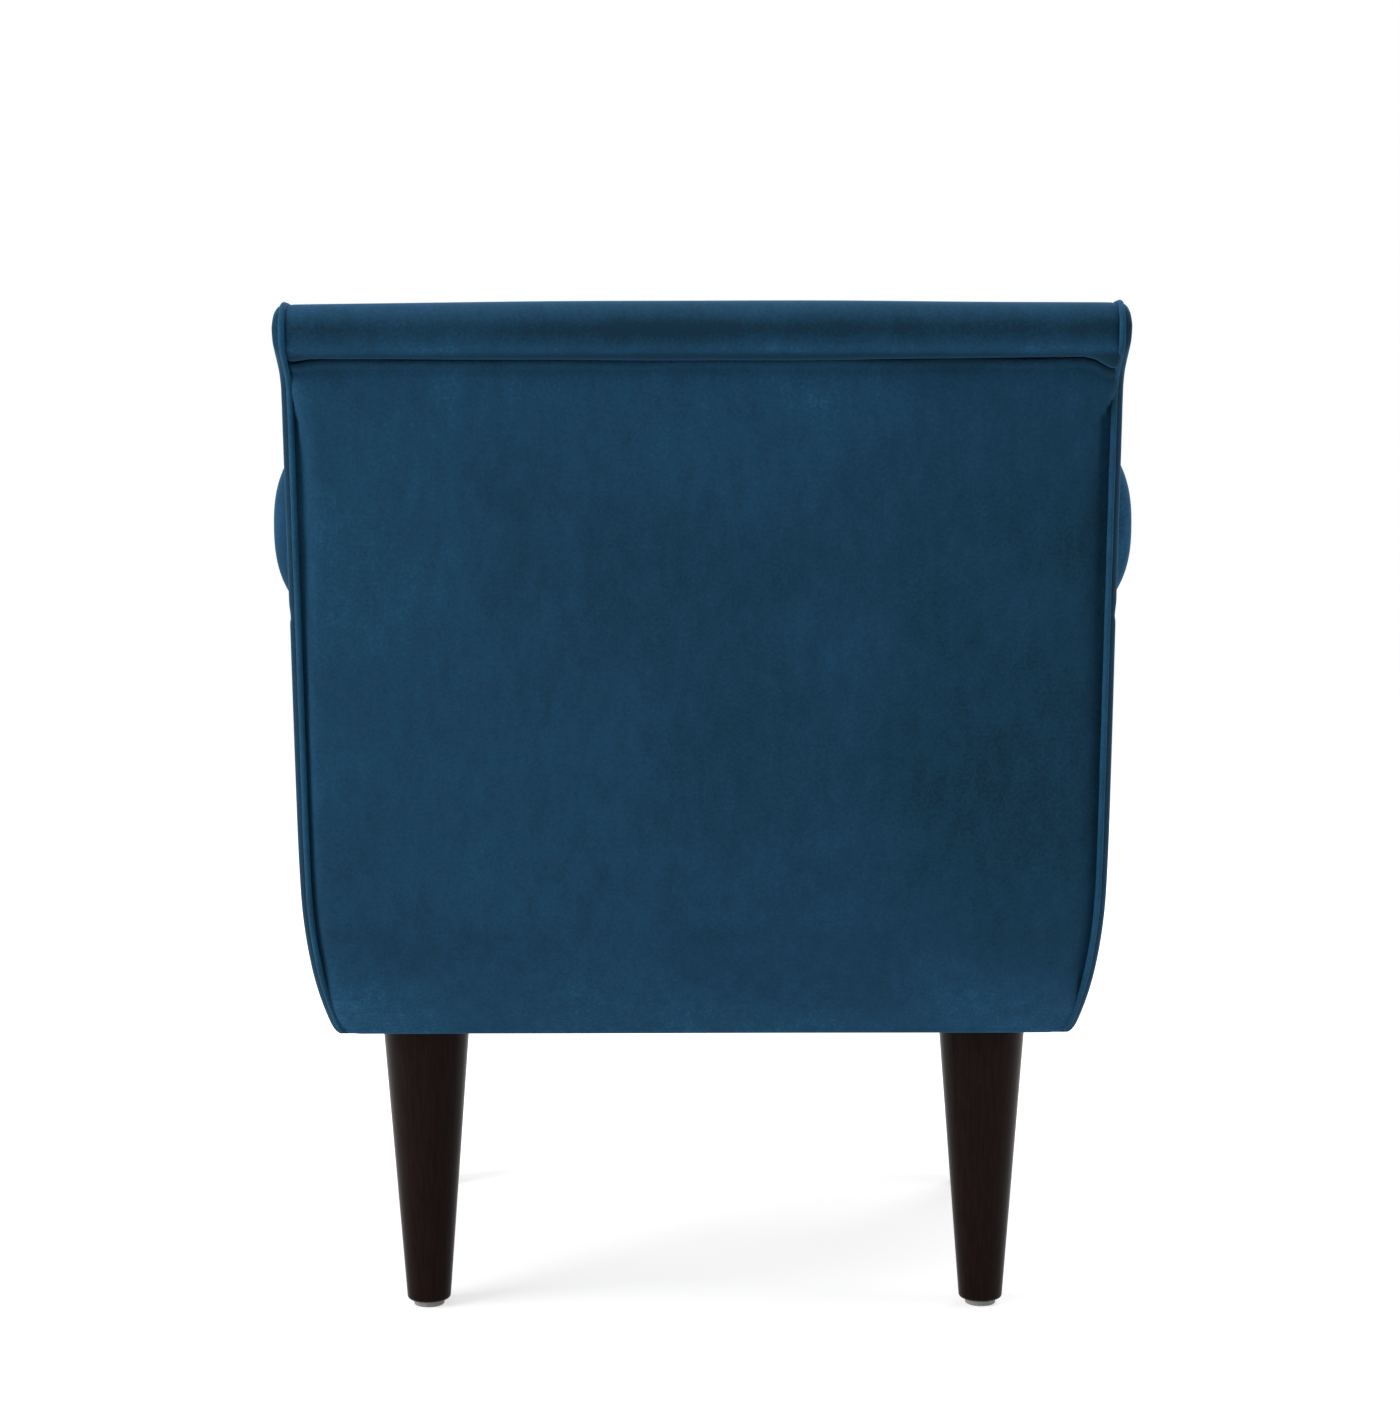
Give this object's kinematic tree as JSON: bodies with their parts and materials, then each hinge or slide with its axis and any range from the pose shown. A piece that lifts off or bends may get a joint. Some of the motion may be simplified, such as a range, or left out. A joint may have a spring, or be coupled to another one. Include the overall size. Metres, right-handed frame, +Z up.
{
  "type": "upholstered armchair",
  "caption": "Upholstered armchair with a scrolled back, rolled arms, piped edges, a loose zipped seat cushion and tapered round legs, for sitting in a living room.",
  "frame": {"origin": "on the floor, under the middle of the chair's bounding box", "axes": "+Z up, -Y towards the front, where a sitter faces, and +X towards the chair's own left side"},
  "size_m": [0.6666, 0.7351, 0.802],
  "materials": {
    "velvet": "deep blue velvet with a short pile",
    "velvet_piping": "blue velvet over a cord",
    "foam": "open-cell foam",
    "wadding": "polyester wadding",
    "stiff_board": "matt",
    "leg_wood": "dark espresso stain, satin lacquer",
    "frame_wood": "planed, unfinished",
    "steel": "zinc plated",
    "lining_cloth": "black non-woven cloth",
    "glide_plastic": "pale grey, matt",
    "webbing": "woven elastic",
    "zip_tape": "woven tape with a nylon coil",
    "zip_metal": "enamelled"
  },
  "bodies": {
    "chair": {"arm_cover_left": "velvet", "arm_cover_right": "velvet", "arm_facing_left": "velvet", "arm_facing_right": "velvet", "arm_foam_left": "foam", "arm_foam_right": "foam", "arm_front_board_left": "frame_wood", "arm_front_board_right": "frame_wood", "arm_front_pads": "wadding", "arm_piping_left": "velvet_piping", "arm_piping_right": "velvet_piping", "arm_tack_rails": "frame_wood", "arm_top_rails": "frame_wood", "back_cross_rails": "frame_wood", "back_facing_left": "velvet", "back_facing_right": "velvet", "back_foam": "foam", "back_piping_left": "velvet_piping", "back_piping_right": "velvet_piping", "back_post_left": "frame_wood", "back_post_right": "frame_wood", "back_side_wadding": "wadding", "back_top_rail": "frame_wood", "back_webbing": "webbing", "block_screws": "steel", "corner_blocks": "frame_wood", "deck_cloth": "lining_cloth", "deck_pad": "wadding", "dust_cover": "lining_cloth", "front_band": "velvet", "front_rail": "frame_wood", "hanger_bolts": "steel", "inside_arm_boards": "stiff_board", "inside_back_cover": "velvet", "leg_front_left": "leg_wood", "leg_front_right": "leg_wood", "leg_glides": "glide_plastic", "leg_rear_left": "leg_wood", "leg_rear_right": "leg_wood", "outside_arm_board_left": "stiff_board", "outside_arm_board_right": "stiff_board", "outside_arm_cover_left": "velvet", "outside_arm_cover_right": "velvet", "outside_back_board": "stiff_board", "outside_back_cover": "velvet", "rail_dowels": "frame_wood", "rear_rail": "frame_wood", "seat_springs": "steel", "side_rail_left": "frame_wood", "side_rail_right": "frame_wood", "spring_clips": "steel", "tee_nuts": "steel"},
    "seat_cushion": {"cushion_core": "foam", "cushion_fibre": "wadding", "cushion_top": "velvet", "cushion_bottom": "velvet", "cushion_boxing": "velvet", "cushion_piping": "velvet_piping", "zip_tape": "zip_tape"},
    "zip_slider": {"zip_slider": "zip_metal"}
  },
  "joints": [
    {"name": "cushion_lift", "type": "slide", "parent": "chair", "child": "seat_cushion", "axis": [0, 0, 1], "range_m": [0, 0.5]},
    {"name": "zip_slide", "type": "slide", "parent": "seat_cushion", "child": "zip_slider", "axis": [1, 0, 0], "range_m": [0, 0.36]}
  ]
}
